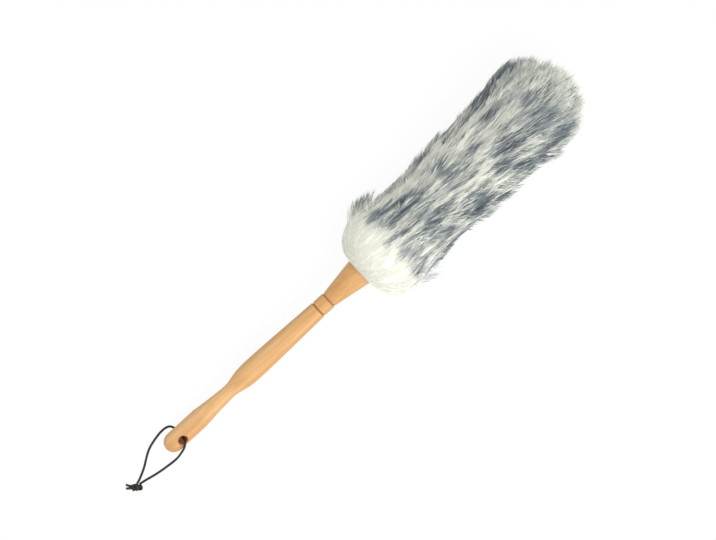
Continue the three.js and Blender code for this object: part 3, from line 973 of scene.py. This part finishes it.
def runStrands(rng, specks, plan, each):  # how each strand runs along the head and round it
    count, column = len(plan["way"]), each["way"].shape
    u = np.linspace(0, 1, 13)  # from root to tip
    spread = locks["rootSpread"]
    root = np.maximum(each["way"] + rng.uniform(-spread, spread, column), 0.05)
    shortest, longest = locks["uneven"]
    reach = each["length"] * rng.uniform(np.where(each["free"], loose["uneven"], shortest), longest, column)
    depth = locks["rootDepth"] * np.clip((root - 24) / 70, 0.15, 1)
    depth = depth * np.where(each["fringe"], fringe["rootDepth"], 1)
    inCuff, beyond = locks["gather"]
    closed = np.where(each["fringe"], fringe["gather"], inCuff + (beyond - inCuff) * each["calm"])
    gather = 1 - np.where(each["free"], loose["gather"], closed) * u**0.8
    wave = rng.uniform(0, 6.28, column) + u * rng.uniform(2, 5, column)
    turned = each["yaw"] + rng.normal(0, 0.05, column)
    beside = rng.normal(0, 0.5, column) * each["width"]
    aside = beside * gather + turned * reach * u + 0.5 * np.sin(wave) * u
    place, out = flowAt(root + reach * u)
    rootShare = np.clip(root / 45, 0.1, 1)
    below = rng.uniform(0, 2, column) * rootShare**2
    sunk = depth * (1 - u) ** 2.4 + below * gather - each["lift"] * rootShare * u**2
    at = place[..., 0] - out[..., 0] * sunk
    radius = (place[..., 1] - out[..., 1] * sunk) * each["share"]
    splay = perStrand(fringe["splay"] * (plan["share"] + rng.normal(0, 0.5, count)))
    radius += np.where(each["fringe"], splay, 0) * u**2
    inner = np.where(each["fringe"], 1 - each["share"] ** 4, 0)  # 1 in the middle of the brushed end
    radius += inner * specks.normal(0, fringe["scatter"], column)
    spare = rng.normal(0, 1, column)  # strands are cut where they leave the outline by more than this
    mean, varies, most = fringe["spare"]
    lockSpare = mean + rng.normal(0, varies, count) * np.where(plan["fringe"], fringe["ragged"], 1)
    spare = spare + perStrand(np.minimum(lockSpare, most))
    over = radius > outlineReach(at - spare) + 0.6 * spare
    over &= at > fleece["endsForward"] + 4
    last = np.where(over.any(axis=1), np.argmax(over, axis=1), len(u) - 1)
    wanted = strandLevels * np.clip(last / (len(u) - 1), 0.2, 1)[:, None]
    at, radius, aside, outAt, outUp = [
        resample(values, u, wanted) for values in (at, radius, aside, out[..., 0], out[..., 1])
    ]
    turn = each["angle"] + aside / np.maximum(radius, 9)
    line = toTable(at, np.maximum(radius, 0.5), turn, 0.5 + rng.uniform(0, 1.6, column))
    return {
        "root": root, "beside": beside, "inner": inner, "at": at, "radius": radius, "turn": turn,
        "line": line, "outAt": outAt, "outUp": outUp,
    }


def strandFacing(each, run):  # which way the wool faces, for its shading
    turn, outUp = run["turn"], run["outUp"]
    facing = (run["outAt"][..., None] * np.array(along)
              + (outUp * np.cos(turn))[..., None] * np.array([0, 1, 0])
              + (outUp * np.sin(turn))[..., None] * np.array(rise))
    most, length = fringe["faces"]
    front = most * easeIn(run["at"], fleece["endsForward"], length) * (1 - 0.6 * each["share"] ** 2)
    facing = facing * (1 - front[..., None]) + np.array(along) * front[..., None]
    facing[..., 2] += locks["glowing"] * easeIn(facing[..., 2], -0.9, 1.2)
    return facing


def shadeStrands(rng, specks, plan, each, run):
    count, column = len(plan["way"]), each["way"].shape
    at = run["at"]
    ahead = at + rng.normal(0, 2, column) + perStrand(rng.normal(0, 3, count))
    wander = rng.normal(0, 0.6, column) + perStrand(rng.normal(0, 0.8, count))
    around = run["turn"] + wander / np.maximum(run["radius"], 9)
    dark = tuftShade(ahead, around) * easeIn(strandLevels, *shading["rootsEnd"])
    rim = np.where(plan["fringe"], plan["share"] ** 4 * specks.uniform(*shading["rimTip"], count), 0)
    tip = np.where(plan["wisp"], rng.uniform(*shading["wispTip"], count), rim)
    tip = perStrand(np.where(plan["stray"], shading["strayTip"], tip))
    dark = np.maximum(dark, tip * easeIn(strandLevels, *shading["tipsBegin"]))
    greyed = easeIn(at, *shading["cuffEnds"])
    band = easeIn(at, *shading["bandBegins"]) * (1 - easeIn(at, *shading["bandEnds"]))
    light = each["pale"] + shading["greyTip"] * easeIn(at, *shading["tipBegins"]) + shading["greyBand"] * band
    light = np.maximum(light, 0) * greyed
    # painted light: the tufts fade in the middle of the brushed end, whose front lies in shade
    dark = dark * (1 - shading["fringeMiddlePaintedLight"] * run["inner"])
    spared = specks.uniform(0, 1, column) < shading["through"]
    dark = dark * np.where(spared, specks.uniform(*shading["throughShade"], column), 1)
    shade = light + (1 - light) * dark * easeIn(at, *shading["tuftsBegin"])
    shade = shade + rng.normal(0, shading["speckle"], column) * (0.12 + 0.88 * greyed)
    hair = each["haired"] & (np.abs(run["beside"] - perStrand(rng.normal(0, 1.5, count))) < 0.6)
    hairShade = rng.uniform(*shading["hairShade"], column) * easeIn(strandLevels, *shading["hairBegins"])
    return np.clip(np.where(hair, np.maximum(shade, hairShade), shade), 0, 1)


def growStrands():
    rng = np.random.default_rng(locks["seed"])
    specks = np.random.default_rng(locks["seed"] + 2)
    plan = planLocks(rng)
    each = {name: perStrand(values) for name, values in plan.items()}
    run = runStrands(rng, specks, plan, each)
    shade = shadeStrands(rng, specks, plan, each, run)
    kept = ~each["stray"][:, 0] | (np.arange(len(shade)) % loose["thinned"] == 0)
    root = run["root"][kept, 0]
    ruffled = easeIn(root, *locks["ruffled"])
    return run["line"][kept], strandFacing(each, run)[kept], shade[kept], root, ruffled


def strandLayout(n, spots, faces):  # each strand has its own narrow cell of the UV map, so that its colour can be baked
    columns = int(math.ceil((n * 3.0) ** 0.5))
    rows = int(math.ceil(n / columns))
    turn = np.arctan2(spots[:, 1], spots[:, 0]) / (2 * math.pi) % 1
    flat = []
    for face in faces:
        angles = turn[face]
        if spots[face, 2].max() < 0.01:
            flat += [(0.5 + 0.3 * math.cos(6.28 * a), 0.02 + 0.02 * math.sin(6.28 * a)) for a in angles]
            continue
        pointed = spots[face, 2] > 0.99
        mean = angles[~pointed]
        wraps = mean.max() - mean.min() > 0.5
        sideways = np.where(wraps & (angles < 0.5), angles + 1, angles)
        sideways[pointed] = sideways[~pointed].mean()
        flat += [(0.05 + 0.62 * a, 0.06 + 0.92 * z) for a, z in zip(sideways, spots[face, 2])]
    flat = np.array(flat)
    cell = np.arange(n)
    origin = np.stack([cell % columns, cell // columns], axis=1)
    return (origin[:, None, :] + flat[None, :, :] * 0.92 + 0.04) / np.array([columns, rows])


def meshFrom(name, corners, normals, shade, spots, faces):
    n, each = corners.shape[:2]
    sizes = np.array([len(f) for f in faces])
    loop = np.concatenate(faces)
    mesh = bpy.data.meshes.new(name)
    mesh.vertices.add(n * each)
    mesh.vertices.foreach_set("co", corners.astype(np.float32).ravel())
    mesh.loops.add(n * len(loop))
    whole = np.arange(n)[:, None] * each + loop
    mesh.loops.foreach_set("vertex_index", whole.ravel().astype(np.int32))
    mesh.polygons.add(n * len(faces))
    starts = np.arange(n)[:, None] * len(loop) + np.concatenate([[0], np.cumsum(sizes)[:-1]])
    mesh.polygons.foreach_set("loop_start", starts.ravel().astype(np.int32))
    mesh.polygons.foreach_set("use_smooth", np.ones(n * len(faces), bool))
    mesh.update(calc_edges=True)
    tip = mesh.attributes.new("tipShade", "FLOAT", "POINT")
    tip.data.foreach_set("value", shade.astype(np.float32).ravel())
    laid = strandLayout(n, spots, faces)
    mesh.uv_layers.new(name="OFBake").data.foreach_set("uv", laid.astype(np.float32).ravel())
    mesh.normals_split_custom_set_from_vertices(normals.reshape(-1, 3).tolist())
    piece = bpy.data.objects.new(name, mesh)
    bpy.context.collection.objects.link(piece)
    dress(piece, "wool")
    return piece


def unit(vectors):
    return vectors / np.maximum(np.linalg.norm(vectors, axis=-1, keepdims=True), 1e-9)


def sweepStrands(name, line, facing, shade, ruffled, spots, faces, rng):
    n = len(line)
    inCuff, beyond = locks["flat"]
    flat = inCuff + (beyond - inCuff) * ruffled
    smooth = (1 + (locks["smooth"] - 1) * ruffled)[:, None, None]
    run = unit(np.gradient(line, axis=1))
    side = unit(np.cross(run, facing))
    top = np.cross(run, side)
    ring = np.argmin(np.abs(spots[:, 2][:, None] - strandLevels[None, :]), axis=1)
    angle = np.arctan2(spots[:, 1], spots[:, 0])
    taper = np.array(locks["taper"])[ring] * locks["thick"] / 1000
    turn = angle[None, :] + rng.uniform(0, 6.28, n)[:, None]
    thick = taper[None, :] * (rng.uniform(0.7, 1.2, n) * (0.5 + 0.5 * ruffled))[:, None]
    low = (flat[:, None] * np.sin(turn))[..., None]
    across = np.cos(turn)[..., None] * side[:, ring] + low * top[:, ring]
    corners = line[:, ring] + across * thick[..., None]
    corners[..., 2] = np.maximum(corners[..., 2], 0.0001)
    normals = unit(smooth * facing[:, ring] + (1 - smooth) * across)
    return meshFrom(name, corners, normals, shade[:, ring], spots, faces)


def combWool():
    rng = np.random.default_rng(locks["seed"] + 1)
    spots, faces = strandShape()
    line, facing, shade, root, ruffled = growStrands()
    order = np.argsort(root, kind="stable")
    for i, part in enumerate(np.array_split(order, locks["pieces"])):
        name = f"woolLocks{i + 1}"
        piece = sweepStrands(name, line[part], facing[part], shade[part], ruffled[part], spots, faces, rng)
        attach(piece, "duster")
        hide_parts("tip_pile" if i == locks["pieces"] - 1 else "strip_pile")
    return len(line) * sum(len(f) - 2 for f in faces)


print("wool combed,", combWool(), "triangles")


# CAD pieces: the first eight stay as they are, inside the head, and pieces above replace the others
for name, finish in {
    "core_dowel": "coreBeech", "sheepskin_strip": "lambskin", "tip_patch": "lambskin", "patch_tack": "tack",
    "base_tack_1": "tack", "base_tack_2": "tack", "tip_tack_1": "tack", "tip_tack_2": "tack",
    "handle": "handleBeech", "strip_pile": "fleece", "tip_pile": "fleece", "hang_lace": "lace",
    "lace_knot": "lace", "lace_end_1": "lace", "lace_end_2": "lace",
}.items():
    dress(nodes[name], finish)
print("CAD pieces dressed")


# Table and light
studio = {
    "floor": 6.0,  # metres across
    "key": (29, 1.6, (0.1, -0.8, 2.5)),  # watts, size and place
    "fill": (13.5, 1.8, (0.2, 1.1, 2.3)),
    "front": (8, 1.6, (2.3, 0.1, 1.2)),
    "aim": (0, 0, 0.03),  # where all three point
    "sky": 0.82,
    "table": 0.86,  # the table's own grey, as the camera sees it
    "bounce": 0.55,  # grey that the table throws back on the duster
    "glow": 0.94,  # share of the table's white that its own shade can't dim
}


def layFloor():
    selectNone()
    bpy.ops.mesh.primitive_plane_add(size=studio["floor"])
    floor = bpy.context.object
    floor.name = "tableTop"
    bpy.ops.object.mode_set(mode="EDIT")
    bpy.ops.mesh.subdivide(number_cuts=4)
    bpy.ops.object.mode_set(mode="OBJECT")
    material, tree, shader = newMaterial("paleTable", 0.9)
    shader.inputs["Specular IOR Level"].default_value = 0
    rays = addNode(tree, "ShaderNodeLightPath")
    seen = mathNode(tree, "MAXIMUM", rays.outputs["Is Camera Ray"], rays.outputs["Is Glossy Ray"])
    seen = mathNode(tree, "MAXIMUM", seen, rays.outputs["Is Transmission Ray"])
    bounced, direct = [(level, level, level, 1) for level in (studio["bounce"], studio["table"])]
    tree.links.new(mixNode(tree, seen, bounced, direct), shader.inputs["Base Color"])
    share = mathNode(tree, "MULTIPLY", seen, studio["glow"])
    glow = addNode(tree, "ShaderNodeEmission")
    mix = addNode(tree, "ShaderNodeMixShader")
    tree.links.new(share, mix.inputs[0])
    tree.links.new(shader.outputs[0], mix.inputs[1])
    tree.links.new(glow.outputs[0], mix.inputs[2])
    tree.links.new(mix.outputs[0], tree.nodes["Material Output"].inputs["Surface"])
    floor.data.materials.append(material)


def hangLamp(name, watts, size, place):
    bpy.ops.object.light_add(type="AREA", location=place)
    lamp = bpy.context.object
    lamp.name = name
    lamp.data.energy = watts
    lamp.data.size = size
    lamp.rotation_euler = (Vector(studio["aim"]) - Vector(place)).to_track_quat("-Z", "Y").to_euler()


layFloor()
hangLamp("keyLamp", *studio["key"])
hangLamp("fillLamp", *studio["fill"])
hangLamp("frontLamp", *studio["front"])
world = bpy.data.worlds.new("paleRoom")
bpy.context.scene.world = world
world.use_nodes = True
rays = addNode(world.node_tree, "ShaderNodeLightPath")
sky = world.node_tree.nodes["Background"]
sky.inputs["Color"].default_value = (1, 1, 1, 1)
lift = mathNode(world.node_tree, "MULTIPLY", rays.outputs["Is Camera Ray"], 1 - studio["sky"])
world.node_tree.links.new(mathNode(world.node_tree, "ADD", lift, studio["sky"]), sky.inputs["Strength"])
bpy.context.scene.view_settings.view_transform = "Standard"
print("table and lamps set")
